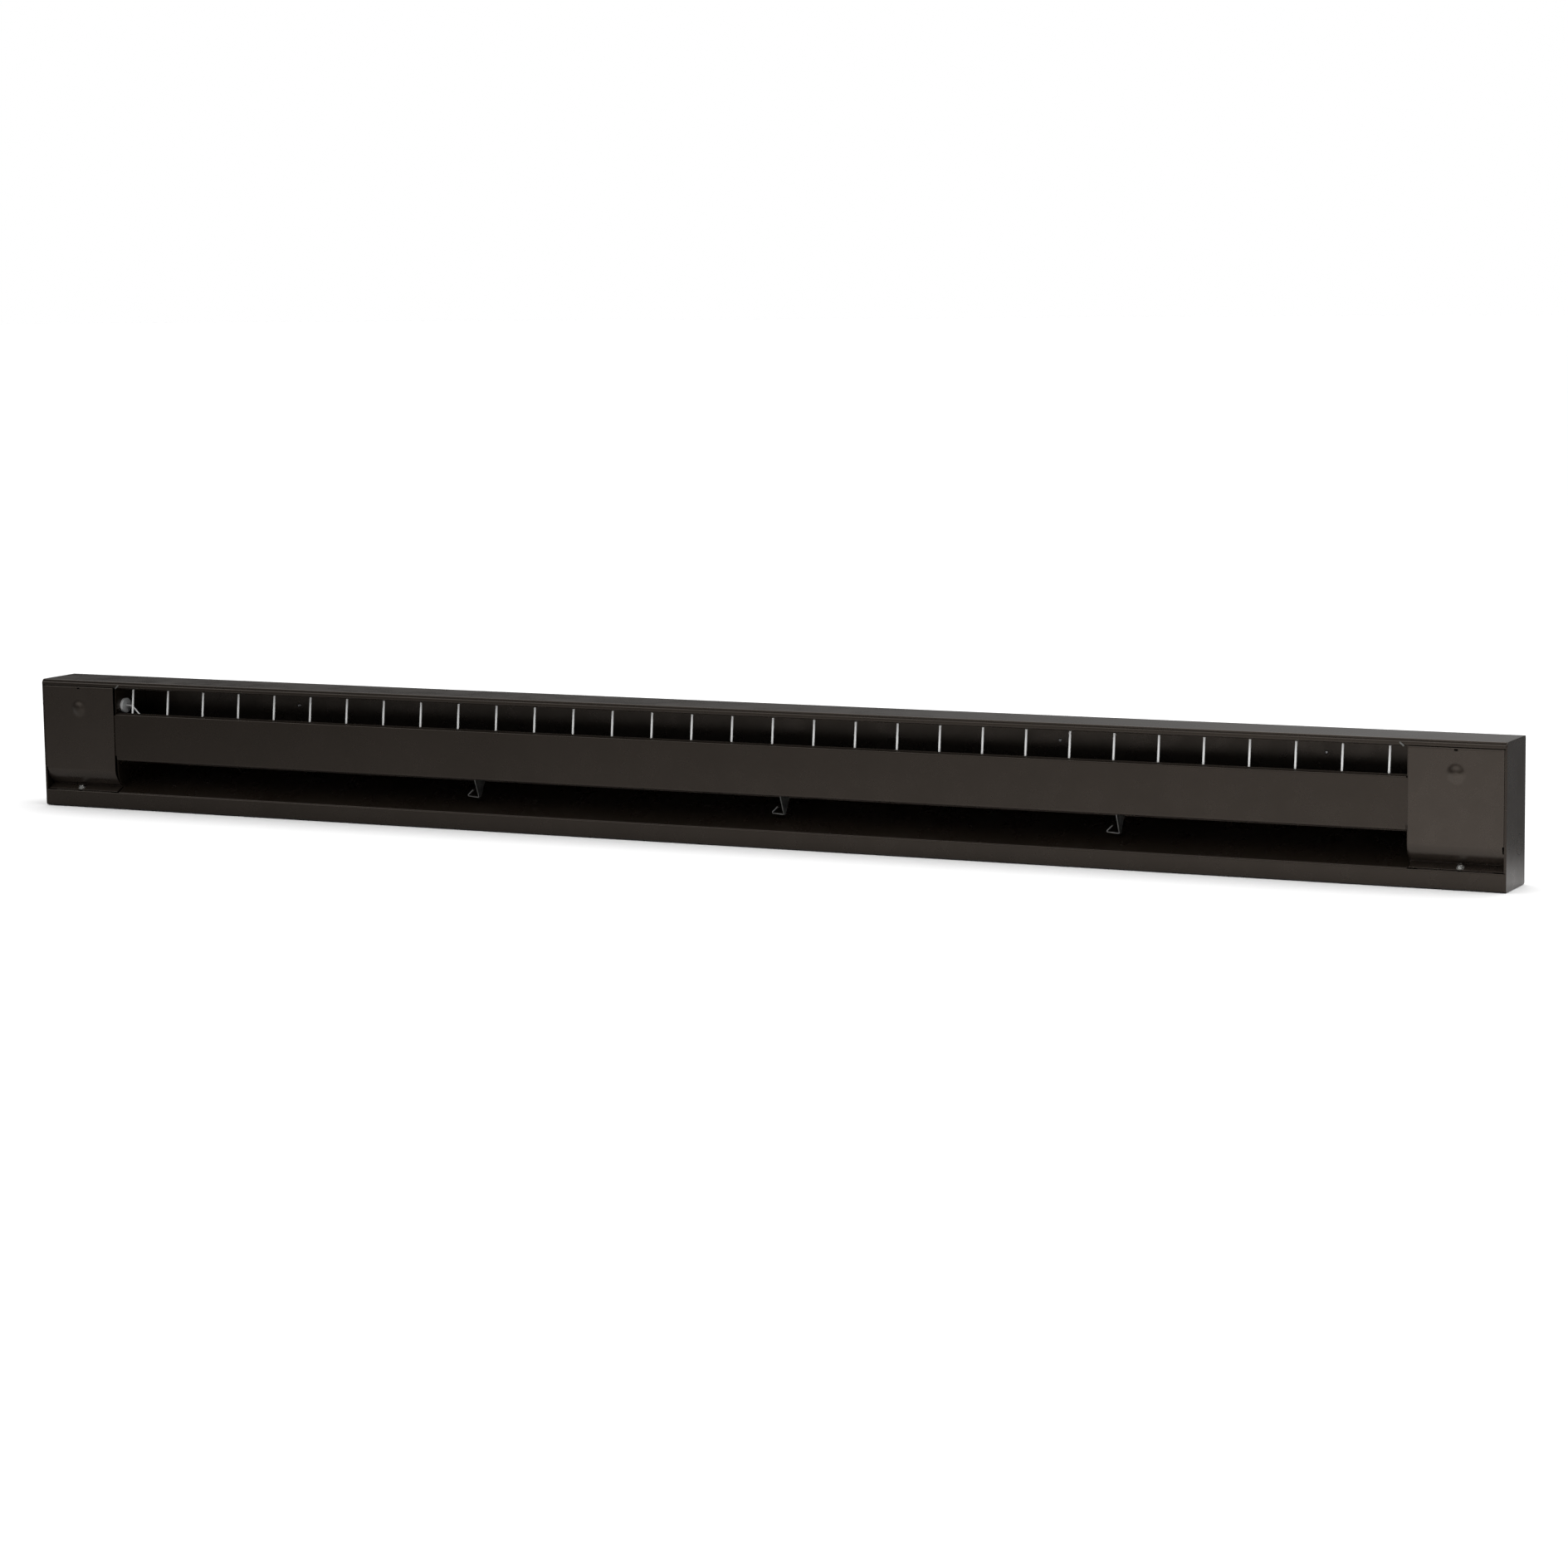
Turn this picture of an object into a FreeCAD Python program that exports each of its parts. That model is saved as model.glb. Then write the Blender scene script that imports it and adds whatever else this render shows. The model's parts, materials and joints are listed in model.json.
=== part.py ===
"""Electric convection baseboard heater, 72 in long, in millimetres.

Frame: +X runs along the casing to the right end, -Y is the room side, +Y the wall side, +Z up.
The origin is the middle of the footprint, on the floor plane.
Sections are drawn in (d, z): d is the depth behind the front plane and z the height.
Stations along the casing are given as s, measured from the left end.
"""
import FreeCAD, Part
import math
import os

Vector = FreeCAD.Vector

# Overall size
LENGTH = 1828.8
DEPTH = 66.4
HEIGHT = 154.4
SHEET = 1.0                 # casing sheet
HALF = SHEET / 2
TOUCH_GAP = 0.3             # clearance between parts that move past each other

# End caps and junction boxes
CAP_PLATE = 1.2
CAP_FLANGE = 12.0
CAP_FRONT_WIDTH = 2.6
COVER_WIDTH = 101.4
COVER_INSET = CAP_FRONT_WIDTH + TOUCH_GAP
PARTITION_S = 105.6         # middle of the partition plate, from the nearer end
KNOCKOUT_R = 11.1
KNOCKOUT_CENTRE = (46.5, 44.0)

# Front levels
LIP_TOP = 19.4
PANEL_BOTTOM = 58.6
PANEL_TOP = 115.0
HOOD_LIP_BOTTOM = 147.1
PANEL_SETBACK = 1.3         # front panel face behind the front plane
SLOPE = math.radians(25.0)  # wireway cover and the cover's bottom flange

# Junction cover
COVER_AXIS = (0.5, 146.2)   # hinge line, in (d, z)
COVER_BEND = 45.5           # height where the flat face starts to curve back
COVER_CREASE = math.radians(15.0)       # first bend of the cover's foot
COVER_CURVE_R = 32.0
COVER_FOLD_R = 0.7           # any larger and the fold runs back into the curve
COVER_CURVE_TURN = math.radians(42.0)   # further turn of its curved foot
COVER_FOLD = (15.1, 26.0)               # where the foot folds into the screw flange
COVER_FLANGE_END = 2.9
DIMPLE_R = 9.0
DIMPLE_RISE = 2.4
DIMPLE_Z = 120.0
FRONT_TO_ORIGIN = (DEPTH - DIMPLE_RISE) / 2   # the dimples stand in front of the front plane
SCREW_OFFSET = 3.8          # screw lies this far outboard of the cover's middle
SCREW_D = 6.5
SCREW_R = 2.1
SCREW_REACH = 2.1           # thread length below the cover's flange
SCREW_HEAD_R = 4.1
SCREW_HEX_FLATS = 6.35
WASHER_R = 4.3
WASHER_T = 0.8

# Outlet guard
BAR_COUNT = 32
BAR_PITCH = 50.8
BAR_FIRST = 127.0
BAR_R = 1.2
BAR_LOW = (7.6, 109.6)
BAR_HIGH = (12.4, 151.2)

# Heating element
ELEMENT = (34.0, 84.0)      # centre line of the sheath, in (d, z)
SHEATH_R = 4.75
SHEATH_BORE_R = 4.0
SHEATH_END = 78.0           # sheath end, from the nearer end of the casing
FIN_SIZE = (50.0, 48.0)
FIN_T = 0.5
FIN_PITCH = 9.6
FIN_START = 124.0
SUPPORT_STATIONS = (602.0, 997.0, 1398.0)
SUPPORT_T = 1.0
SUPPORT_TOP = 108.4
HOOK_CORNER_Z = 35.2

# Limit control
CAPILLARY_R = 1.7
CAPILLARY_PORT = (21.5, 124.0)
CAPILLARY_RUN_Z = 110.6
REAR_HEAD_R = 2.2             # chamfered rivet heads on the back wall
REAR_HEAD_RISE = 0.9
REAR_HEAD_TOP_R = 1.1
PAN_FRONT_BEND = 3.1         # depths at which the lower sheet leaves its two bends
PAN_REAR_BEND = 63.6
CLIP_BOTTOM = ELEMENT[1] + FIN_SIZE[1] / 2 + 0.05   # clips rest just above the fins

# Wiring
WIRE_R = 1.7
WIRE_PAIR = (24.0, 31.0)    # depths of the two through wires
WIRE_LEVEL = 9.5
WIRE_S = 50.0               # station where the wires rise in the junction boxes
WIRE_ENDS = (34.0, 40.0)    # heights of the wire ends

# Wall fixing
WALL_HOLE_R = 2.4
WALL_RIVET_STATIONS = (329.0, 1312.0, 1615.0)
WALL_HOLE_Z = 127.5


def at(s, d, z):
    """Point at station s, depth d and height z in the part's frame."""
    return Vector(s - LENGTH / 2, d - FRONT_TO_ORIGIN, z)


def box(s0, s1, d0, d1, z0, z1):
    """Upright box between two stations, two depths and two heights."""
    return Part.makeBox(s1 - s0, d1 - d0, z1 - z0, at(s0, d0, z0))


def rod(start, end, radius):
    """Round bar between two points of the part's frame."""
    along = end - start
    return Part.makeCylinder(radius, along.Length, start, along)


def mirror(shape):
    """The same piece at the other end of the casing."""
    return shape.mirror(Vector(0, 0, 0), Vector(1, 0, 0))


def side_edges(points, radii, offset):
    """Edges of one side of a bent sheet whose middle line runs through the points."""
    ends = [points[0]]
    arcs = []
    for i in range(1, len(points) - 1):
        before = (points[i] - points[i - 1]).normalize()
        after = (points[i + 1] - points[i]).normalize()
        turn = math.atan2(before.x * after.y - before.y * after.x, before.dot(after))
        side = 1.0 if turn > 0 else -1.0
        reach = radii[i - 1] * math.tan(abs(turn) / 2)
        start = points[i] - before * reach
        end = points[i] + after * reach
        normal = Vector(-before.y, before.x, 0) * side
        centre = start + normal * radii[i - 1]
        bisector = (points[i] - centre).normalize()
        arcs.append((start, end, centre, bisector, radii[i - 1] - side * offset, before, after))
    edges = []
    here = None
    for start, end, centre, bisector, radius, before, after in arcs:
        left_before = Vector(-before.y, before.x, 0) * offset
        left_after = Vector(-after.y, after.x, 0) * offset
        if here is None:
            here = ends[0] + left_before
        edges.append(Part.LineSegment(here, start + left_before).toShape())
        arc = Part.Arc(start + left_before, centre + bisector * radius, end + left_after)
        edges.append(arc.toShape())
        here = end + left_after
    last = (points[-1] - points[-2]).normalize()
    left_last = Vector(-last.y, last.x, 0) * offset
    if here is None:
        here = points[0] + left_last
    edges.append(Part.LineSegment(here, points[-1] + left_last).toShape())
    return edges


def bent_face(outline, radii, thickness):
    """Flat section of a sheet bent along an outline, in the (first, second) plane."""
    points = [Vector(a, b, 0) for a, b in outline]
    left = side_edges(points, radii, thickness / 2)
    right = side_edges(points, radii, -thickness / 2)
    start = Part.LineSegment(left[0].Vertexes[0].Point, right[0].Vertexes[0].Point).toShape()
    end = Part.LineSegment(left[-1].Vertexes[-1].Point, right[-1].Vertexes[-1].Point).toShape()
    edges = Part.__sortEdges__([start] + left + [end] + right)
    return Part.Face(Part.Wire(edges))


def bent_sheet(outline, radii, s0, s1, thickness=SHEET):
    """Sheet bent along an outline given in (d, z) and running from station s0 to s1."""
    face = bent_face(outline, radii, thickness)
    section = face.copy()
    section.rotate(Vector(0, 0, 0), Vector(1, 1, 1), 120.0)
    section.translate(at(s0, 0, 0))
    return section.extrude(Vector(s1 - s0, 0, 0))


def plate(outline, s0, s1, radii=None):
    """Flat plate across the casing with a (d, z) outline and rounded corners."""
    count = len(outline)
    radii = radii or [0.0] * count
    edges = []
    here = None
    first = None
    for i in range(count):
        corner = Vector(0, outline[i][0], outline[i][1])
        before = Vector(0, outline[i - 1][0], outline[i - 1][1])
        after = Vector(0, outline[(i + 1) % count][0], outline[(i + 1) % count][1])
        if radii[i] > 0:
            back = (before - corner).normalize()
            ahead = (after - corner).normalize()
            half_angle = math.acos(max(-1.0, min(1.0, back.dot(ahead)))) / 2
            reach = radii[i] / math.tan(half_angle)
            start = corner + back * reach
            end = corner + ahead * reach
            middle_direction = (back + ahead).normalize()
            to_centre = radii[i] / math.sin(half_angle)
            middle = corner + middle_direction * (to_centre - radii[i])
            if here is not None:
                edges.append(Part.LineSegment(here, start).toShape())
            edges.append(Part.Arc(start, middle, end).toShape())
            here = end
            first = first or start
        else:
            if here is not None:
                edges.append(Part.LineSegment(here, corner).toShape())
            here = corner
            first = first or corner
    edges.append(Part.LineSegment(here, first).toShape())
    section = Part.Face(Part.Wire(edges))
    section.translate(at(s0, 0, 0))
    return section.extrude(Vector(s1 - s0, 0, 0))


def tube_path(points, radii, radius):
    """Round wire or tube through points, with a tangent arc of its own radius at each turn."""
    edges = []
    here = points[0]
    for i in range(1, len(points) - 1):
        before = (points[i] - points[i - 1]).normalize()
        after = (points[i + 1] - points[i]).normalize()
        turn = before.getAngle(after)
        reach = radii[i - 1] * math.tan(turn / 2)
        start = points[i] - before * reach
        end = points[i] + after * reach
        inward = (after - before).normalize()
        to_centre = radii[i - 1] / math.cos(turn / 2)
        middle = points[i] + inward * (to_centre - radii[i - 1])
        if (start - here).Length > 1e-4:
            edges.append(Part.LineSegment(here, start).toShape())
        edges.append(Part.Arc(start, middle, end).toShape())
        here = end
    edges.append(Part.LineSegment(here, points[-1]).toShape())
    path = Part.Wire(edges)
    along = (points[1] - points[0]).normalize()
    ring = Part.Wire([Part.Circle(points[0], along, radius).toShape()])
    pipe = path.makePipeShell([ring], True, True)
    expected = math.pi * radius ** 2 * path.Length
    if abs(pipe.Volume / expected - 1) > 0.01:
        raise ValueError("a tube's volume is not its section times its length")
    return pipe


def slope_z(d):
    """Height of the sloping wireway plane's top face at a depth."""
    flange_middle = COVER_FOLD[1] - math.tan(SLOPE) * (COVER_FOLD[0] - d)
    return flange_middle - HALF / math.cos(SLOPE) - TOUCH_GAP


def hole(s, d, z, radius, direction, depth):
    """Round cutter starting at a point and going along a direction."""
    return Part.makeCylinder(radius, depth, at(s, d, z), direction)


def knockout_ring(s, d, z, radius, across, depth):
    """Cutter for a knock-out: a thin ring with two ties left standing."""
    start = at(s, d, z)
    ring = Part.makeCylinder(radius, depth, start, across)
    ring = ring.cut(Part.makeCylinder(radius - 0.5, depth, start, across))
    tie = 3.2
    reach = 2 * radius + 2
    if abs(across.x) > 0.5:
        bar = Part.makeBox(depth, reach, tie, start - Vector(0, reach / 2, tie / 2))
    else:
        bar = Part.makeBox(tie, depth, reach, start - Vector(tie / 2, 0, reach / 2))
    return ring.cut(bar)


# ---------------------------------------------------------------- casing

def back_panel():
    """Back wall and hood, rolled from one sheet, with a grooved nose and a hemmed lip."""
    outline = [(DEPTH - HALF, 1.5),
               (DEPTH - HALF, HEIGHT - HALF),
               (0.9, HEIGHT - HALF),
               (2.4, 151.9),
               (0.7, 150.4),
               (0.7, HOOD_LIP_BOTTOM + HALF),
               (2.3, HOOD_LIP_BOTTOM + HALF),
               (2.3, 150.0)]
    radii = [1.6, 0.7, 0.6, 0.8, 0.78, 0.78]
    body = bent_sheet(outline, radii, CAP_PLATE, LENGTH - CAP_PLATE)
    back = Vector(0, 1, 0)
    cutters = []
    for s in (BOX_HOLE_S, LENGTH - BOX_HOLE_S):
        cutters.append(hole(s, DEPTH - 2 * SHEET, WALL_HOLE_Z, WALL_HOLE_R, back, 3 * SHEET))
    for s in (BOX_MID_S, LENGTH - BOX_MID_S):
        cutters.append(knockout_ring(s, DEPTH - 2 * SHEET, 84.0, KNOCKOUT_R, back, 3 * SHEET))
    for s, z in back_rivets():
        cutters.append(hole(s, DEPTH - 2 * SHEET, z, RIVET_R + 0.05, back, 3 * SHEET))
    for s in (GROUND_S, LENGTH - GROUND_S):
        cutters.append(hole(s, DEPTH - 2 * SHEET, GROUND_Z, GROUND_R + 0.05, back, 3 * SHEET))
    return body.cut(Part.makeCompound(cutters))


def pan_sheet():
    """Whole lower sheet: floor, hemmed front lip and rear upstand."""
    outline = [(DEPTH - 1.5 * SHEET, 22.0),
               (DEPTH - 1.5 * SHEET, HALF),
               (HALF, HALF),
               (HALF, LIP_TOP - HALF),
               (HALF + 1.6, LIP_TOP - HALF),
               (HALF + 1.6, 12.0)]
    radii = [1.2, 2.5, 0.78, 0.78]
    body = bent_sheet(outline, radii, CAP_PLATE, LENGTH - CAP_PLATE)
    cutters = []
    for s in (BOX_MID_S, LENGTH - BOX_MID_S):
        ring = Part.makeCylinder(KNOCKOUT_R, 3 * SHEET, at(s, 38.0, -SHEET))
        ring = ring.cut(Part.makeCylinder(KNOCKOUT_R - 0.5, 3 * SHEET, at(s, 38.0, -SHEET)))
        ring = ring.cut(box(s - 20, s + 20, 36.4, 39.6, -SHEET, 2 * SHEET))
        cutters.append(ring)
    for s, d in floor_rivets():
        cutters.append(hole(s, d, -SHEET, RIVET_R + 0.05, Vector(0, 0, 1), 3 * SHEET))
    return body.cut(Part.makeCompound(cutters))


def pan_part(d0, d1):
    """Stretch of the lower sheet between two depths."""
    return pan_sheet().common(box(-1.0, LENGTH + 1.0, d0, d1, -1.0, HEIGHT))


def bottom_pan():
    """Floor of the casing, between the bends of the lower sheet."""
    return pan_part(PAN_FRONT_BEND, PAN_REAR_BEND)


def front_lip():
    """Front lip of the lower sheet, hemmed at the top."""
    return pan_part(-1.0, PAN_FRONT_BEND)


def rear_upstand():
    """Rear upstand of the lower sheet, lapped on the back wall."""
    return pan_part(PAN_REAR_BEND, DEPTH + 1.0)


def wireway_cover():
    """Sloping inner panel that closes the wireway and turns the incoming air up."""
    front = 3.6
    rear = DEPTH - 1.5 * SHEET
    drop = HALF / math.cos(SLOPE)
    outline = [(front, 11.0),
               (front, slope_z(front) - drop),
               (rear, slope_z(rear) - drop),
               (rear, slope_z(rear) + 9.0)]
    start = PARTITION_S + HALF
    return bent_sheet(outline, [1.1, 1.3], start, LENGTH - start)


def front_panel():
    """Flat front panel with a turned-back top edge and a curved bottom edge."""
    middle = PANEL_SETBACK + HALF
    outline = [(4.9, PANEL_TOP - HALF),
               (middle, PANEL_TOP - HALF),
               (middle, PANEL_BOTTOM + 0.8),
               (10.3, PANEL_BOTTOM - 0.7)]
    flanged = PARTITION_S + 1.0
    body = bent_sheet(outline, [1.0, 2.0], flanged, LENGTH - flanged)
    tongue = COVER_INSET + COVER_WIDTH - 8.0
    strip = box(tongue, LENGTH - tongue, PANEL_SETBACK, PANEL_SETBACK + SHEET,
                PANEL_BOTTOM + 6.0, PANEL_TOP - 1.6)
    body = body.fuse(strip).removeSplitter()
    cutters = []
    for s, z in panel_rivets():
        cutters.append(hole(s, -1.0, z, RIVET_R + 0.05, Vector(0, 1, 0), 5.0))
    return body.cut(Part.makeCompound(cutters))


def end_cap():
    """Left end cap: a flat plate, inner flanges for the casing and a narrow front fold."""
    outline = [(0, 0), (DEPTH, 0), (DEPTH, HEIGHT), (0, HEIGHT)]
    body = plate(outline, 0.0, CAP_PLATE, [3.0, 2.5, 1.6, 5.0])
    rim = [edge for edge in body.Edges if edge.BoundBox.XMax < -LENGTH / 2 + 1e-6]
    body = body.makeFillet(0.7, rim)
    inner = SHEET + 0.02
    reach = CAP_PLATE + CAP_FLANGE
    top = box(CAP_PLATE - 0.4, reach, 9.0, 61.0, HEIGHT - inner - SHEET, HEIGHT - inner)
    bottom = box(CAP_PLATE - 0.4, reach, 9.0, 61.0, inner, inner + SHEET)
    rear = box(CAP_PLATE - 0.4, reach, DEPTH - inner - SHEET, DEPTH - inner, 30.0, 148.0)
    front = box(CAP_PLATE - 0.4, CAP_FRONT_WIDTH, 0.35, 0.35 + SHEET, LIP_TOP + 0.6, HOOD_LIP_BOTTOM - 0.5)
    body = body.fuse([top, bottom, rear, front]).removeSplitter()
    across = Vector(1, 0, 0)
    cutters = [knockout_ring(-1.0, KNOCKOUT_CENTRE[0], KNOCKOUT_CENTRE[1], KNOCKOUT_R, across, 4.0)]
    for s, z in back_rivets():
        if s < 20:
            cutters.append(hole(s, DEPTH - 3 * SHEET, z, RIVET_R + 0.05, Vector(0, 1, 0), 3 * SHEET))
    for s, d in floor_rivets():
        if s < 20:
            cutters.append(hole(s, d, 0.5, RIVET_R + 0.05, Vector(0, 0, 1), 3 * SHEET))
    return body.cut(Part.makeCompound(cutters))


def partition():
    """Left partition between the junction box and the element."""
    s0 = PARTITION_S - HALF
    s1 = PARTITION_S + HALF
    rear = DEPTH - SHEET - 1.2
    outline = [(3.7, 152.9), (3.7, 45.0), (5.2, 38.0), (9.0, 31.0), (14.5, 26.4),
               (14.5, slope_z(14.5) - 0.3), (4.6, slope_z(4.6) - 0.3), (4.6, 1.3),
               (rear, 1.3), (rear, 152.9)]
    body = plate(outline, s0, s1)
    ears = [box(s0 - 9.0, s0 + 0.2, PANEL_SETBACK + SHEET + 0.05, PANEL_SETBACK + 2 * SHEET + 0.05,
                PANEL_BOTTOM + 8.0, PANEL_TOP - 3.0)]
    ears.append(box(s0, s1, PANEL_SETBACK + SHEET + 0.05, 3.8, PANEL_BOTTOM + 8.0, PANEL_TOP - 3.0))
    ears.append(box(s0 - 9.0, s0 + 0.2, rear - SHEET, rear, 66.0, 140.0))
    ears.append(box(s0 - 9.0, s0 + 0.2, 10.0, 60.0, 1.05, 1.05 + SHEET))
    body = body.fuse(ears)
    body = body.removeSplitter()
    across = Vector(1, 0, 0)
    cutters = [hole(s0 - 1, ELEMENT[0], ELEMENT[1], 7.0, across, 4.0),
               hole(s0 - 1, CAPILLARY_PORT[0], CAPILLARY_PORT[1], 5.2, across, 4.0),
               hole(s0 - 1, sum(WIRE_PAIR) / 2, WIRE_LEVEL, 6.5, across, 4.0)]
    for s, z in panel_rivets():
        if s < LENGTH / 2:
            cutters.append(hole(s, -1.0, z, RIVET_R + 0.05, Vector(0, 1, 0), 6.0))
    return body.cut(Part.makeCompound(cutters))


def cover_catch():
    """Left ledge under the cover's bottom flange, with a slot for the screw, open at the front."""
    front = 3.7
    drop = HALF / math.cos(SLOPE)
    outline = [(front, 11.0),
               (front, slope_z(front) - drop),
               (13.4, slope_z(13.4) - drop),
               (13.4, 17.0)]
    body = bent_sheet(outline, [1.0, 1.0], CAP_PLATE + CAP_FLANGE + 1.0, PARTITION_S - 11.0)
    width = 2 * (SCREW_R + TOUCH_GAP + 0.1)
    s = SCREW_S
    slot = box(s - width / 2, s + width / 2, 2.0, SCREW_D + 0.6, 15.0, 26.0)
    middle = at(s, SCREW_D + 0.6, 15.0)
    return body.cut([slot, Part.makeCylinder(width / 2, 12.0, middle)])


# ---------------------------------------------------------------- outlet guard

def bar_depth(z):
    """Depth of the guard bars' middle line at a height."""
    share = (z - BAR_LOW[1]) / (BAR_HIGH[1] - BAR_LOW[1])
    return BAR_LOW[0] + share * (BAR_HIGH[0] - BAR_LOW[0])


def guard_bars():
    """The bare metal bars of the outlet guard."""
    bars = []
    for i in range(BAR_COUNT):
        s = BAR_FIRST + i * BAR_PITCH
        bars.append(rod(at(s, *BAR_LOW), at(s, *BAR_HIGH), BAR_R))
    return Part.makeCompound(bars)


def guard_rail(low, high):
    """Strip between two heights that the bars are welded to the back of."""
    ahead = BAR_R + HALF + 0.03
    outline = [(bar_depth(low) - ahead, low), (bar_depth(high) - ahead, high)]
    start = PARTITION_S + HALF + 0.1
    return bent_sheet(outline, [], start, LENGTH - start)


# ---------------------------------------------------------------- junction covers

def cover():
    """Left junction cover: hook at the top, flat face, curved foot and a folded-out flange."""
    tangent = COVER_CURVE_R * math.tan(COVER_CURVE_TURN / 2) + 0.2
    curve = (HALF + tangent * math.sin(COVER_CREASE), COVER_BEND - tangent * math.cos(COVER_CREASE))
    outline = [(3.75, 150.0),
               (3.75, COVER_AXIS[1]),
               (HALF, COVER_AXIS[1]),
               (HALF, COVER_BEND),
               curve,
               COVER_FOLD,
               (COVER_FLANGE_END, COVER_FOLD[1] - math.tan(SLOPE) * (COVER_FOLD[0] - COVER_FLANGE_END))]
    radii = [0.8, 0.8, 1.0, COVER_CURVE_R, COVER_FOLD_R]
    body = bent_sheet(outline, radii, COVER_INSET, COVER_INSET + COVER_WIDTH)
    middle = COVER_INSET + COVER_WIDTH / 2
    sphere_r = (DIMPLE_R ** 2 + DIMPLE_RISE ** 2) / (2 * DIMPLE_RISE)
    centre = at(middle, sphere_r - DIMPLE_RISE + 0.01, DIMPLE_Z)
    dome = Part.makeSphere(sphere_r, centre)
    hollow = Part.makeSphere(sphere_r - SHEET, centre)
    front = box(middle - 12, middle + 12, -DIMPLE_RISE - 1, 0.3, DIMPLE_Z - 12, DIMPLE_Z + 12)
    bore = box(middle - 12, middle + 12, -DIMPLE_RISE - 1, SHEET + 0.3, DIMPLE_Z - 12, DIMPLE_Z + 12)
    body = body.fuse(dome.common(front)).cut(hollow.common(bore)).removeSplitter()
    notch = box(middle - 2.0, middle + 2.0, -0.5, 1.4, 143.6, 145.4)
    relief = box(COVER_INSET - 1, COVER_INSET + 1.5, -1.0, 4.5, 39.5, 47.0)
    passage = Part.makeCylinder(SCREW_R + TOUCH_GAP, 8.0, screw_point(-4.0), SCREW_AXIS)
    return body.cut([notch, relief, passage])


SCREW_S = COVER_INSET + COVER_WIDTH / 2 - SCREW_OFFSET
SCREW_AXIS = Vector(0, -math.sin(SLOPE), math.cos(SLOPE))
BOX_MID_S = 55.0
BOX_HOLE_S = 30.0
RIVET_R = 1.6
GROUND_S = 32.0
GROUND_Z = 60.0
GROUND_R = 2.0


def screw_point(height):
    """Point on the cover screw's axis at a height above the flange's upper face."""
    z = COVER_FOLD[1] - math.tan(SLOPE) * (COVER_FOLD[0] - SCREW_D)
    return at(SCREW_S, SCREW_D, z) + SCREW_AXIS * (HALF + height)


def cover_washer():
    """Nylon washer that keeps the left cover screw in the cover and travels with it."""
    body = Part.makeCylinder(WASHER_R, WASHER_T, screw_point(0.05), SCREW_AXIS)
    return body.cut(Part.makeCylinder(SCREW_R + 0.08, 3.0, screw_point(-1.0), SCREW_AXIS))


def cover_screw():
    """Left cover screw: slotted hexagon head on a washer flange, short threaded shank."""
    seat = WASHER_T + 0.1
    flange = Part.makeCylinder(SCREW_HEAD_R, 0.9, screw_point(seat), SCREW_AXIS)
    head_r = SCREW_HEX_FLATS / 2 / math.cos(math.radians(30))
    corners = []
    for k in range(6):
        angle = math.radians(60 * k)
        across = Vector(1, 0, 0) * math.cos(angle) + SCREW_AXIS.cross(Vector(1, 0, 0)) * math.sin(angle)
        corners.append(screw_point(seat + 0.8) + across * head_r)
    hexagon = Part.Face(Part.makePolygon(corners + [corners[0]])).extrude(SCREW_AXIS * 2.6)
    crown = Part.makeCone(head_r * 1.45, head_r * 0.62, 4.6, screw_point(seat - 1.0), SCREW_AXIS)
    shank_length = SHEET + SCREW_REACH + seat - 0.9
    shank = Part.makeCylinder(SCREW_R, shank_length + 0.1, screw_point(seat + 0.1), SCREW_AXIS * -1)
    point = Part.makeCone(SCREW_R, 1.0, 0.9, screw_point(seat - shank_length), SCREW_AXIS * -1)
    body = flange.fuse([hexagon.common(crown), shank, point]).removeSplitter()
    slot = Part.makeBox(1.1, 12.0, 4.0, Vector(-0.55, -6.0, 0))
    slot.rotate(Vector(0, 0, 0), Vector(0, 0, 1), 35)
    slot.rotate(Vector(0, 0, 0), Vector(1, 0, 0), math.degrees(SLOPE))
    slot.translate(screw_point(seat + 2.3))
    return body.cut(slot)


def cover_clip():
    """Left spring clip on the end cap that steadies the cover's outer edge."""
    s0 = CAP_PLATE
    outer = box(s0, s0 + 1.25, 1.6, 2.4, 136.0, 146.0)
    foot = box(s0, s0 + 0.9, 1.6, 12.0, 138.0, 144.0)
    return outer.fuse(foot).removeSplitter()


# ---------------------------------------------------------------- heating element

def element_sheath():
    """Steel tube of the heating element."""
    start = at(SHEATH_END, *ELEMENT)
    length = LENGTH - 2 * SHEATH_END
    tube = Part.makeCylinder(SHEATH_R, length, start, Vector(1, 0, 0))
    return tube.cut(Part.makeCylinder(SHEATH_BORE_R, length, start, Vector(1, 0, 0)))


def element_fins():
    """Aluminium convection fins, left out where a support plate stands."""
    fins = []
    count = int((LENGTH - 2 * FIN_START) / FIN_PITCH)
    start = (LENGTH - count * FIN_PITCH) / 2
    blank = box(0, FIN_T, ELEMENT[0] - FIN_SIZE[0] / 2, ELEMENT[0] + FIN_SIZE[0] / 2,
                ELEMENT[1] - FIN_SIZE[1] / 2, ELEMENT[1] + FIN_SIZE[1] / 2)
    collar = Part.makeCylinder(SHEATH_R + 0.6, 2.2, at(0, *ELEMENT), Vector(1, 0, 0))
    bore = Part.makeCylinder(SHEATH_R + 0.02, 6.0, at(-1, *ELEMENT), Vector(1, 0, 0))
    fin = blank.fuse(collar).cut(bore).removeSplitter()
    for i in range(count + 1):
        s = start + i * FIN_PITCH
        if min(abs(s - station) for station in SUPPORT_STATIONS) < 4.0:
            continue
        copy = fin.copy()
        copy.translate(Vector(s, 0, 0))
        fins.append(copy)
    return Part.makeCompound(fins)


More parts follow.
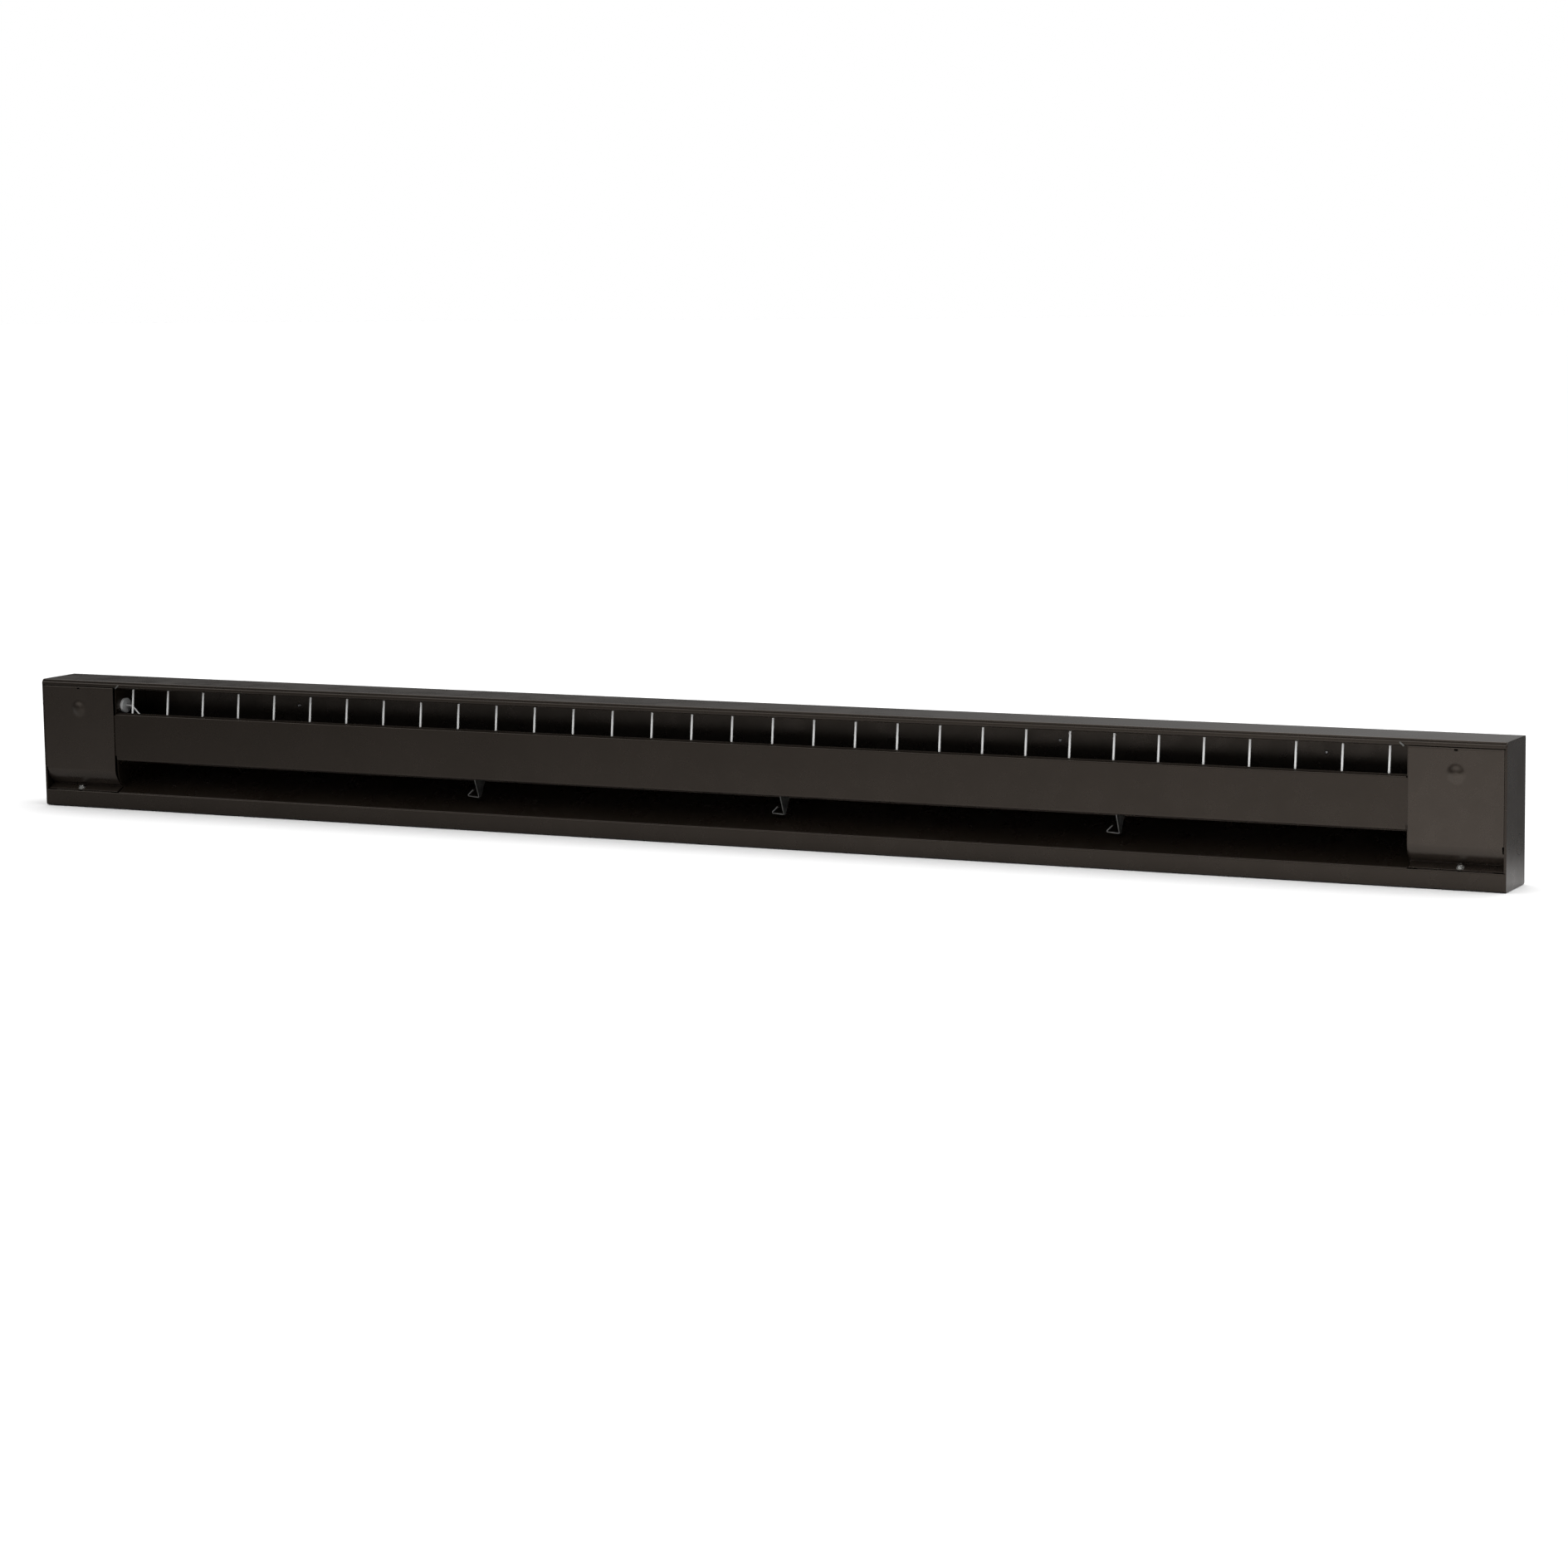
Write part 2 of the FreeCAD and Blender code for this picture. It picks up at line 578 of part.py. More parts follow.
def cold_pin():
    """Left cold pin of the element with its flat terminal tab."""
    pin = rod(at(SHEATH_END - 14.0, *ELEMENT), at(SHEATH_END + 20.0, *ELEMENT), 1.6)
    tab = box(SHEATH_END - 22.0, SHEATH_END - 12.0, ELEMENT[0] - 0.4, ELEMENT[0] + 0.4,
              ELEMENT[1] - 3.1, ELEMENT[1] + 3.1)
    return pin.fuse(tab).removeSplitter()


def end_seal():
    """Left ceramic seal between the cold pin and the sheath."""
    body = rod(at(SHEATH_END - 6.0, *ELEMENT), at(SHEATH_END + 8.0, *ELEMENT), SHEATH_BORE_R - 0.02)
    body = body.fuse(rod(at(SHEATH_END - 6.0, *ELEMENT), at(SHEATH_END - 0.05, *ELEMENT), SHEATH_R))
    return body.cut(rod(at(SHEATH_END - 8.0, *ELEMENT), at(SHEATH_END + 10.0, *ELEMENT), 1.62))


def sheath_bushing():
    """Left bushing that carries the sheath in the partition and lets it slide as it grows."""
    s0 = PARTITION_S - HALF
    body = rod(at(s0 - 3.0, *ELEMENT), at(s0 + SHEET + 2.5, *ELEMENT), 6.95)
    body = body.fuse(rod(at(s0 - 3.0, *ELEMENT), at(s0 - 0.05, *ELEMENT), 9.5))
    body = body.fuse(rod(at(s0 + SHEET + 0.05, *ELEMENT), at(s0 + SHEET + 2.5, *ELEMENT), 8.6))
    return body.cut(rod(at(s0 - 8.0, *ELEMENT), at(s0 + 10.0, *ELEMENT), SHEATH_R + 0.05))


def support(station):
    """Plate that carries the element and braces the front panel, with a hooked foot."""
    s0 = station - SUPPORT_T / 2
    s1 = station + SUPPORT_T / 2
    rear = DEPTH - SHEET - 0.05
    outline = [(6.6, 105.0), (2.5, 105.0), (2.5, 68.0), (11.0, 64.0), (13.4, 56.0),
               (22.0, HOOK_CORNER_Z), (25.6, HOOK_CORNER_Z), (38.0, 57.0), (rear, 70.0),
               (rear, SUPPORT_TOP), (10.9, SUPPORT_TOP), (10.9, 105.0)]
    body = plate(outline, s0, s1)
    middle = s0 + SUPPORT_T / 2
    foot = bent_face([(middle, HOOK_CORNER_Z + 6.0), (middle, HOOK_CORNER_Z + 0.5),
                      (middle - 15.5, HOOK_CORNER_Z + 1.6), (middle - 7.5, HOOK_CORNER_Z + 9.0)],
                     [0.9, 1.1], SUPPORT_T)
    foot.rotate(Vector(0, 0, 0), Vector(1, 0, 0), 90.0)
    foot.translate(at(0, 21.3, 0))
    foot = foot.extrude(Vector(0, 4.2, 0))
    ear = box(s0 - 8.0, s0 + 0.2, rear - SUPPORT_T, rear, 78.0, 108.0)
    body = body.fuse([foot, ear]).removeSplitter()
    bore = Part.makeCylinder(SHEATH_R + 0.35, 6.0, at(s0 - 2, *ELEMENT), Vector(1, 0, 0))
    return body.cut(bore)


# ---------------------------------------------------------------- limit control

def capillary():
    """Sensing tube of the limit control: out of the junction box and along above the fins."""
    port = at(PARTITION_S - 20.0, *CAPILLARY_PORT)
    run_z = CAPILLARY_RUN_Z
    points = [port,
              at(PARTITION_S + 12.0, *CAPILLARY_PORT),
              at(PARTITION_S + 25.0, CAPILLARY_PORT[0], run_z),
              at(LENGTH - PARTITION_S - 25.0, CAPILLARY_PORT[0], run_z)]
    return tube_path(points, [7.0, 9.0], CAPILLARY_R)


def capillary_bushing():
    """Split metal bushing where the sensing tube leaves the partition."""
    s0 = PARTITION_S - HALF
    centre = CAPILLARY_PORT
    body = rod(at(s0 - 2.0, *centre), at(s0 + SHEET + 3.2, *centre), 5.15)
    body = body.fuse(rod(at(s0 + SHEET + 0.05, *centre), at(s0 + SHEET + 3.2, *centre), 9.0))
    body = body.cut(rod(at(s0 - 6.0, *centre), at(s0 + 8.0, *centre), CAPILLARY_R + 0.1))
    slit = box(s0 + SHEET + 0.0, s0 + 9.0, centre[0] - 0.4, centre[0] + 0.4, centre[1] - 12, centre[1] - 1.0)
    return body.cut(slit)


def limit_body():
    """Housing of the limit control, on the left partition inside the junction box."""
    s1 = PARTITION_S - HALF - 10.0
    d, z = CAPILLARY_PORT
    body = box(s1 - 24.0, s1 - 0.5, d - 9.0, d + 21.0, z - 10.0, z + 14.0)
    tabs = [box(s1 - 30.0, s1 - 24.2, d + 13.0, d + 13.8, z - 6.0, z + 0.3),
            box(s1 - 30.0, s1 - 24.2, d - 1.0, d - 0.2, z - 6.0, z + 0.3)]
    body = body.makeFillet(1.5, [e for e in body.Edges if abs(e.BoundBox.YLength) > 20])
    bore = rod(at(s1 - 10.0, *CAPILLARY_PORT), at(s1 + 3.0, *CAPILLARY_PORT), CAPILLARY_R + 0.1)
    return Part.makeCompound([body.cut(bore)] + [tab for tab in tabs])


def limit_bracket():
    """Bracket that holds the limit control's housing on the partition."""
    s1 = PARTITION_S - HALF - 0.05
    d, z = CAPILLARY_PORT
    wall = box(s1 - 1.0, s1, d + 8.0, d + 20.0, z + 4.0, z + 22.0)
    shelf = box(s1 - 30.0, s1, d + 8.0, d + 20.0, z + 14.05, z + 15.05)
    return wall.fuse(shelf).removeSplitter()


def capillary_clips():
    """Clips that hold the sensing tube down on the fins, one beside each support."""
    clips = []
    for station in SUPPORT_STATIONS:
        s = station + 1.0
        d = CAPILLARY_PORT[0]
        saddle = rod(at(s, d, CAPILLARY_RUN_Z), at(s + 6.0, d, CAPILLARY_RUN_Z), CAPILLARY_R + 0.9)
        saddle = saddle.fuse(box(s, s + 6.0, d - 2.1, d + 2.1, CAPILLARY_RUN_Z - 3.2, CAPILLARY_RUN_Z))
        bore = rod(at(s - 1, d, CAPILLARY_RUN_Z), at(s + 8.0, d, CAPILLARY_RUN_Z), CAPILLARY_R + 0.05)
        below = box(s - 1, s + 8.0, d - 4.0, d + 4.0, CLIP_BOTTOM - 6.0, CLIP_BOTTOM)
        clips.append(saddle.cut(bore).cut(below).removeSplitter())
    return Part.makeCompound(clips)


# ---------------------------------------------------------------- wiring

def through_wires():
    """Two insulated wires through the wireway, rising in both junction boxes."""
    wires = []
    for depth, rise in zip(WIRE_PAIR, WIRE_ENDS):
        points = [at(WIRE_S, depth, rise), at(WIRE_S, depth, WIRE_LEVEL),
                  at(LENGTH - WIRE_S, depth, WIRE_LEVEL), at(LENGTH - WIRE_S, depth, rise)]
        wires.append(tube_path(points, [12.0, 12.0], WIRE_R))
    return Part.makeCompound(wires)


def wire_bushing():
    """Left grommet for the two wires in the partition's lower hole."""
    s0 = PARTITION_S - HALF
    d = sum(WIRE_PAIR) / 2
    body = rod(at(s0 - 1.5, d, WIRE_LEVEL), at(s0 + SHEET + 1.5, d, WIRE_LEVEL), 6.45)
    body = body.fuse(rod(at(s0 - 1.5, d, WIRE_LEVEL), at(s0 - 0.05, d, WIRE_LEVEL), 7.4))
    for depth in WIRE_PAIR:
        body = body.cut(rod(at(s0 - 5, depth, WIRE_LEVEL), at(s0 + 8, depth, WIRE_LEVEL), WIRE_R + 0.1))
    return body


def connectors(mirrored):
    """Screw-on wire connectors over the wire ends of one junction box."""
    caps = []
    for depth, rise in zip(WIRE_PAIR, WIRE_ENDS):
        caps.append(Part.makeCone(4.6, 3.4, 20.0, at(WIRE_S, depth, rise + 0.05)))
    group = Part.makeCompound(caps)
    return mirror(group) if mirrored else group


def ground_screw():
    """Left green ground screw in the back wall."""
    head = hole(GROUND_S, DEPTH - SHEET - 0.05, GROUND_Z, 4.4, Vector(0, -1, 0), 2.6)
    shank = hole(GROUND_S, DEPTH - SHEET - 0.2, GROUND_Z, GROUND_R, Vector(0, 1, 0), SHEET + 0.15)
    slot = box(GROUND_S - 6, GROUND_S + 6, DEPTH - SHEET - 4.0, DEPTH - SHEET - 1.6, GROUND_Z - 0.6, GROUND_Z + 0.6)
    return head.fuse(shank).cut(slot).removeSplitter()


# ---------------------------------------------------------------- rivets

def back_rivets():
    """Stations and heights of the rivets through the back wall."""
    places = [(s, WALL_HOLE_Z) for s in WALL_RIVET_STATIONS]
    for s in (8.0, LENGTH - 8.0):
        places += [(s, 50.0), (s, 135.0)]
    return places


def floor_rivets():
    """Stations and depths of the rivets through the floor."""
    places = []
    for s in (8.0, LENGTH - 8.0):
        places += [(s, 16.0), (s, 52.0)]
    return places


def panel_rivets():
    """Stations and heights of the rivets that hold the front panel on the partitions."""
    s = PARTITION_S - HALF - 5.0
    return [(s, 72.0), (s, 108.0), (LENGTH - s, 72.0), (LENGTH - s, 108.0)]


def casing_rivets():
    """Rivets of the casing, flush outside and headed inside."""
    rivets = []
    for s, z in back_rivets():
        layers = SHEET if s in WALL_RIVET_STATIONS else 2 * SHEET
        face = DEPTH - layers - 0.07
        head = Part.makeCone(REAR_HEAD_R, REAR_HEAD_TOP_R, REAR_HEAD_RISE, at(s, face, z), Vector(0, -1, 0))
        shank = hole(s, DEPTH - layers - 0.3, z, RIVET_R, Vector(0, 1, 0), layers + 0.3)
        rivets.append(head.fuse(shank).removeSplitter())
    for s, d in floor_rivets():
        head = hole(s, d, 2 * SHEET + 0.07, 3.0, Vector(0, 0, 1), 1.1)
        shank = hole(s, d, 0.1, RIVET_R, Vector(0, 0, 1), 2 * SHEET + 0.2)
        rivets.append(head.fuse(shank).removeSplitter())
    return Part.makeCompound(rivets)


def front_rivets():
    """Flush rivets of the front panel behind the junction covers."""
    rivets = []
    face = PANEL_SETBACK
    for s, z in panel_rivets():
        shank = hole(s, face, z, RIVET_R, Vector(0, 1, 0), 2 * SHEET + 0.3)
        head = hole(s, face + 2 * SHEET + 0.12, z, 2.8, Vector(0, 1, 0), 1.0)
        rivets.append(shank.fuse(head).removeSplitter())
    return Part.makeCompound(rivets)


def build():
    """Every sub-part by its node name."""
    parts = {
        "back_panel": back_panel(),
        "bottom_pan": bottom_pan(),
        "front_lip": front_lip(),
        "rear_upstand": rear_upstand(),
        "wireway_cover": wireway_cover(),
        "front_panel": front_panel(),
        "guard_bars": guard_bars(),
        "guard_top_rail": guard_rail(144.9, 150.6),
        "guard_bottom_rail": guard_rail(109.4, 116.3),
        "element_sheath": element_sheath(),
        "element_fins": element_fins(),
        "capillary_tube": capillary(),
        "capillary_bushing": capillary_bushing(),
        "capillary_clips": capillary_clips(),
        "limit_control": limit_body(),
        "limit_bracket": limit_bracket(),
        "through_wires": through_wires(),
        "casing_rivets": casing_rivets(),
        "front_rivets": front_rivets(),
        "wire_connectors_left": connectors(False),
        "wire_connectors_right": connectors(True),
    }
    for number, station in enumerate(SUPPORT_STATIONS, 1):
        parts["element_support_%d" % number] = support(station)
    pairs = {
        "end_cap": end_cap(),
        "partition": partition(),
        "cover_catch": cover_catch(),
        "junction_cover": cover(),
        "cover_screw": cover_screw(),
        "cover_washer": cover_washer(),
        "cover_clip": cover_clip(),
        "cold_pin": cold_pin(),
        "end_seal": end_seal(),
        "sheath_bushing": sheath_bushing(),
        "wire_bushing": wire_bushing(),
        "ground_screw": ground_screw(),
    }
    for name, shape in pairs.items():
        parts[name + "_left"] = shape
        parts[name + "_right"] = mirror(shape)
    return parts


def main():
    os.makedirs("parts", exist_ok=True)
    for name, shape in build().items():
        shape.exportStep("parts/%s.step" % name)
        print(name, len(shape.Solids), round(shape.Volume, 1), shape.isValid())


main()
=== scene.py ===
"""The look of a 72 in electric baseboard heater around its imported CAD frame, in metres."""
import json
import math

import bmesh
import bpy
from mathutils import Matrix, Vector


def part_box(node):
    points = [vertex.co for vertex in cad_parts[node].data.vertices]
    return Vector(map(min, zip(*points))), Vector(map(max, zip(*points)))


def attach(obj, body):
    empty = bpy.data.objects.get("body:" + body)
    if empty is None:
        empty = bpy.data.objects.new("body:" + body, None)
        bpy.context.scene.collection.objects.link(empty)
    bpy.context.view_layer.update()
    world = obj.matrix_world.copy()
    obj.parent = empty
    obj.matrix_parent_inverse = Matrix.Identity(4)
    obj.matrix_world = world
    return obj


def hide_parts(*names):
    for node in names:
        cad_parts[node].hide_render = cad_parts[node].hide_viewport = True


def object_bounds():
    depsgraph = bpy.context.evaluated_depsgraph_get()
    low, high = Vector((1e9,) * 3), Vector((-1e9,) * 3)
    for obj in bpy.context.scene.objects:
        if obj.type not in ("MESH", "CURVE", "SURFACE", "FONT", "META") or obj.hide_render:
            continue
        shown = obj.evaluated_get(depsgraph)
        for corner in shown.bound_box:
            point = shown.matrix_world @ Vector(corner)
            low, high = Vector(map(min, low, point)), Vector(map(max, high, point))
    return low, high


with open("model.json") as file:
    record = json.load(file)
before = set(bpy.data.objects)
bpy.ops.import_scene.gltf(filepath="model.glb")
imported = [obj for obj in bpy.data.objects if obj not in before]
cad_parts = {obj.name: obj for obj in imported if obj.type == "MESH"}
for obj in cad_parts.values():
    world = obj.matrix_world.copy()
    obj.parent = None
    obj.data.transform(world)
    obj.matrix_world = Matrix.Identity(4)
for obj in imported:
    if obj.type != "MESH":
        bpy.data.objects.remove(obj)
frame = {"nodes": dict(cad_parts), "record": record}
CAD_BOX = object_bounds()
LOW = Vector(CAD_BOX[0])
MM = 0.001

# Camera, standing in front of the right-hand half of the heater
CAMERA_AT = Vector((2.0726, -3.9430, 0.660))
CAMERA_RIGHT = Vector((0.8931, 0.4496, -0.0143))
CAMERA_UP = Vector((-0.0470, 0.1249, 0.9911))
CAMERA_BACK = Vector((0.4474, -0.8845, 0.1327))
CAMERA_LENS = 91.86
CAMERA_SENSOR = 36.0


# ---------------------------------------------------------------- node helpers

NOISE_ROUGHNESS = 0.55


def new_material(name):
    """A node material with its output wired to one Principled shader."""
    material = bpy.data.materials.new(name)
    material.use_nodes = True
    return material, material.node_tree.nodes, material.node_tree.links


def grey(value):
    return (value, value, value, 1.0)


def noise_node(nodes, links, coords, scale, detail=3.0):
    """Noise texture over the given coordinates."""
    noise = nodes.new("ShaderNodeTexNoise")
    noise.inputs["Scale"].default_value = scale
    noise.inputs["Detail"].default_value = detail
    noise.inputs["Roughness"].default_value = NOISE_ROUGHNESS
    links.new(coords, noise.inputs["Vector"])
    return noise.outputs["Fac"]


def ramp_node(nodes, links, source, low, high, start=0.3, stop=0.7):
    """Colour ramp between two colours over part of a 0-1 signal."""
    ramp = nodes.new("ShaderNodeValToRGB")
    ramp.color_ramp.elements[0].position = start
    ramp.color_ramp.elements[1].position = stop
    ramp.color_ramp.elements[0].color = low
    ramp.color_ramp.elements[1].color = high
    links.new(source, ramp.inputs["Fac"])
    return ramp.outputs["Color"]


def range_node(nodes, links, source, start, stop, bottom=0.0, top=1.0):
    """A signal's stretch from start to stop, spread from bottom to top."""
    spread = nodes.new("ShaderNodeMapRange")
    spread.inputs["From Min"].default_value = start
    spread.inputs["From Max"].default_value = stop
    spread.inputs["To Min"].default_value = bottom
    spread.inputs["To Max"].default_value = top
    links.new(source, spread.inputs["Value"])
    return spread.outputs["Result"]


def toward_node(nodes, links, share, source, colour):
    """A colour signal mixed towards one fixed colour by a share."""
    mix = nodes.new("ShaderNodeMix")
    mix.data_type = "RGBA"
    mix.inputs["B"].default_value = colour
    links.new(share, mix.inputs["Factor"])
    links.new(source, mix.inputs["A"])
    return mix.outputs["Result"]


def split_node(nodes, links, space):
    """The X, Y and Z of a texture coordinate."""
    split = nodes.new("ShaderNodeSeparateXYZ")
    links.new(nodes.new("ShaderNodeTexCoord").outputs[space], split.inputs["Vector"])
    return split.outputs


def camera_sees(nodes, links, source, colour):
    """One fixed colour to the camera and the signal to everything else."""
    return toward_node(nodes, links, nodes.new("ShaderNodeLightPath").outputs["Is Camera Ray"], source, colour)


# ---------------------------------------------------------------- materials

SPECK_GRAIN = 60            # specks and gloss patches, times finer than the colour clouds
PATCH_GRAIN = 2.5
SPECK_DARKEST = 0.72
SPECK_SHARE = 0.35
EDGE_SAMPLES = 6
BUMP_STRENGTH = 0.6
WARM_TINT = (1.0, 0.86, 0.75)

# Each slot of the record: darkest and palest colour, roughness range, bump scale and depth, clouds a metre
FINISHES = {
    "casing_paint": dict(
        name="brown_powder_coat", dark=(0.0085, 0.0060, 0.0041), pale=(0.0115, 0.0083, 0.0060),
        rough=(0.24, 0.34), bump=(650.0, 0.04 * MM), grain=14.0, specular=0.44, tint=WARM_TINT),
    "cover_paint": dict(
        name="brown_cover_coat", dark=(0.0140, 0.0106, 0.0082), pale=(0.0180, 0.0138, 0.0109),
        rough=(0.24, 0.34), bump=(650.0, 0.04 * MM), grain=14.0, specular=0.60, tint=WARM_TINT),
    # Guard bars: zinc given a near-white colour without metal, which stands in for the bright reflection of
    # bare zinc: a painted sheen.
    "guard_zinc": dict(
        name="zinc_with_painted_sheen", dark=(0.97, 0.97, 0.96), pale=(0.99, 0.99, 0.98),
        rough=(0.2, 0.3), bump=(1500.0, 0.03 * MM), grain=90.0),
    "sheath_steel": dict(
        name="drawn_steel", dark=(0.22, 0.21, 0.20), pale=(0.38, 0.36, 0.34), metallic=1.0,
        rough=(0.42, 0.6), bump=(800.0, 0.04 * MM), grain=40.0, stretch=(0.1, 1, 1)),
    "fin_aluminium": dict(
        name="mill_aluminium", dark=(0.66, 0.67, 0.68), pale=(0.82, 0.83, 0.84), metallic=1.0,
        rough=(0.3, 0.48), bump=(900.0, 0.03 * MM), grain=50.0, edge=0.2 * MM),
    "seal_ceramic": dict(
        name="white_ceramic", dark=(0.72, 0.70, 0.64), pale=(0.82, 0.80, 0.74),
        rough=(0.5, 0.7), bump=(1200.0, 0.04 * MM), grain=80.0),
    "bushing_rubber": dict(
        name="black_silicone", dark=(0.018, 0.018, 0.018), pale=(0.035, 0.035, 0.035),
        rough=(0.55, 0.72), bump=(1500.0, 0.04 * MM), grain=60.0),
    "capillary_steel": dict(
        name="drawn_bright_tube", dark=(0.80, 0.80, 0.79), pale=(0.92, 0.92, 0.91), metallic=1.0,
        rough=(0.28, 0.45), bump=(1200.0, 0.02 * MM), grain=60.0, edge=0.2 * MM),
    "bushing_metal": dict(
        name="bright_aluminium", dark=(0.92, 0.92, 0.92), pale=(0.97, 0.97, 0.97), metallic=0.35,
        rough=(0.5, 0.62), bump=(1400.0, 0.02 * MM), grain=120.0),
    "galvanised_steel": dict(
        name="galvanised_steel", dark=(0.16, 0.16, 0.155), pale=(0.28, 0.28, 0.27), metallic=1.0,
        rough=(0.5, 0.68), bump=(500.0, 0.05 * MM), grain=110.0),
    "control_plastic": dict(
        name="moulded_black", dark=(0.022, 0.022, 0.023), pale=(0.034, 0.034, 0.035),
        rough=(0.4, 0.55), bump=(1800.0, 0.04 * MM), grain=40.0),
    "wire_insulation": dict(
        name="black_insulation", dark=(0.02, 0.02, 0.02), pale=(0.035, 0.035, 0.035),
        rough=(0.35, 0.5), bump=(900.0, 0.03 * MM), grain=40.0),
    "rivet_aluminium": dict(
        name="rivet_aluminium", dark=(0.55, 0.55, 0.55), pale=(0.7, 0.7, 0.7), metallic=1.0,
        rough=(0.35, 0.5), bump=(1500.0, 0.02 * MM), grain=150.0),
    "connector_plastic": dict(
        name="orange_connector", dark=(0.62, 0.20, 0.03), pale=(0.75, 0.27, 0.05),
        rough=(0.3, 0.42), bump=(1500.0, 0.03 * MM), grain=80.0),
    "screw_plating": dict(
        name="screw_zinc", dark=(0.40, 0.40, 0.39), pale=(0.55, 0.55, 0.53), metallic=1.0,
        rough=(0.2, 0.32), bump=(1600.0, 0.02 * MM), grain=200.0, edge=0.3 * MM),
    "washer_nylon": dict(
        name="natural_nylon", dark=(0.16, 0.155, 0.14), pale=(0.22, 0.215, 0.20),
        rough=(0.4, 0.55), bump=(1600.0, 0.03 * MM), grain=120.0),
    "clip_steel": dict(
        name="spring_steel", dark=(0.78, 0.78, 0.77), pale=(0.9, 0.9, 0.89), metallic=1.0,
        rough=(0.25, 0.4), bump=(1400.0, 0.02 * MM), grain=150.0),
    "ground_green": dict(
        name="green_screw", dark=(0.02, 0.22, 0.05), pale=(0.035, 0.30, 0.08), metallic=0.3,
        rough=(0.3, 0.45), bump=(1500.0, 0.03 * MM), grain=120.0),
}


def finish_material(name, dark, pale, rough, bump, grain, metallic=0.0, edge=0.5 * MM, stretch=None,
                    specular=0.5, tint=(1.0, 1.0, 1.0)):
    """Colour clouds, varying roughness, fine bump and softened edges for one finish."""
    material, nodes, links = new_material(name)
    shader = nodes["Principled BSDF"]
    shader.inputs["Metallic"].default_value = metallic
    shader.inputs["Specular IOR Level"].default_value = specular
    shader.inputs["Specular Tint"].default_value = tint + (1.0,)
    coords = nodes.new("ShaderNodeTexCoord").outputs["Object"]
    if stretch:
        mapping = nodes.new("ShaderNodeMapping")
        mapping.inputs["Scale"].default_value = stretch
        links.new(coords, mapping.inputs["Vector"])
        coords = mapping.outputs["Vector"]

    clouds = noise_node(nodes, links, coords, grain)
    specks = noise_node(nodes, links, coords, grain * SPECK_GRAIN, 2.0)
    mix = nodes.new("ShaderNodeMix")
    mix.data_type = "RGBA"
    mix.blend_type = "MULTIPLY"
    mix.inputs["Factor"].default_value = SPECK_SHARE
    links.new(ramp_node(nodes, links, clouds, dark + (1.0,), pale + (1.0,)), mix.inputs["A"])
    links.new(ramp_node(nodes, links, specks, grey(SPECK_DARKEST), grey(1.0), 0.35, 0.65), mix.inputs["B"])
    links.new(mix.outputs["Result"], shader.inputs["Base Color"])

    patches = noise_node(nodes, links, coords, grain * PATCH_GRAIN, 4.0)
    links.new(ramp_node(nodes, links, patches, grey(rough[0]), grey(rough[1])), shader.inputs["Roughness"])

    scale, depth = bump
    soft = nodes.new("ShaderNodeBevel")
    soft.samples = EDGE_SAMPLES
    soft.inputs["Radius"].default_value = edge
    relief = nodes.new("ShaderNodeBump")
    relief.inputs["Strength"].default_value = BUMP_STRENGTH
    relief.inputs["Distance"].default_value = depth
    links.new(noise_node(nodes, links, coords, scale, 2.0), relief.inputs["Height"])
    links.new(soft.outputs["Normal"], relief.inputs["Normal"])
    links.new(relief.outputs["Normal"], shader.inputs["Normal"])
    return material


def paint_frame(materials):
    """Gives every CAD node the material of its slot."""
    for entry in frame["record"]["subparts"]:
        node = frame["nodes"][entry["node"]]
        node.data.materials.clear()
        node.data.materials.append(materials[entry["material_slot"]])


# ---------------------------------------------------------------- mesh helpers

def mesh_object(name, bm, material, smooth_angle=35.0):
    """A new object from a bmesh, shaded smooth below an angle."""
    bmesh.ops.recalc_face_normals(bm, faces=bm.faces)
    mesh = bpy.data.meshes.new(name)
    bm.to_mesh(mesh)
    bm.free()
    piece = bpy.data.objects.new(name, mesh)
    bpy.context.scene.collection.objects.link(piece)
    mesh.materials.append(material)
    mesh.shade_smooth()
    mesh.set_sharp_from_angle(angle=math.radians(smooth_angle))
    return piece


def finish_piece(piece, body, slot, *nodes):
    """Lets a piece ride on its body and stand for its CAD nodes."""
    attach(piece, body)
    if nodes:
        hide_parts(*nodes)
    return piece


def corners_of(node):
    """A CAD node's box as two vectors."""
    return [Vector(v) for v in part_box(node)]


def join_rings(bm, rings):
    """Walls between neighbouring rings of vertices."""
    for a, b in zip(rings, rings[1:]):
        for k in range(len(a)):
            j = (k + 1) % len(a)
            bm.faces.new((a[k], a[j], b[j], b[k]))


def apply_modifiers(piece):
    """Bakes a piece's modifiers into its mesh."""
    graph = bpy.context.evaluated_depsgraph_get()
    mesh = bpy.data.meshes.new_from_object(piece.evaluated_get(graph))
    piece.modifiers.clear()
    piece.data = mesh

# ---------------------------------------------------------------- outlet guard

BAR_COUNT = 32
BAR_RADIUS = 1.2 * MM
BAR_SIDES = 20
BAR_DOME = ((0.0, 0.0), (0.35 * MM, 0.55), (0.8 * MM, 0.85), (1.6 * MM, 1.0))   # from the end, share of radius
BAR_FLATTENING = 0.12
BAR_FLAT_REACH = 6 * MM


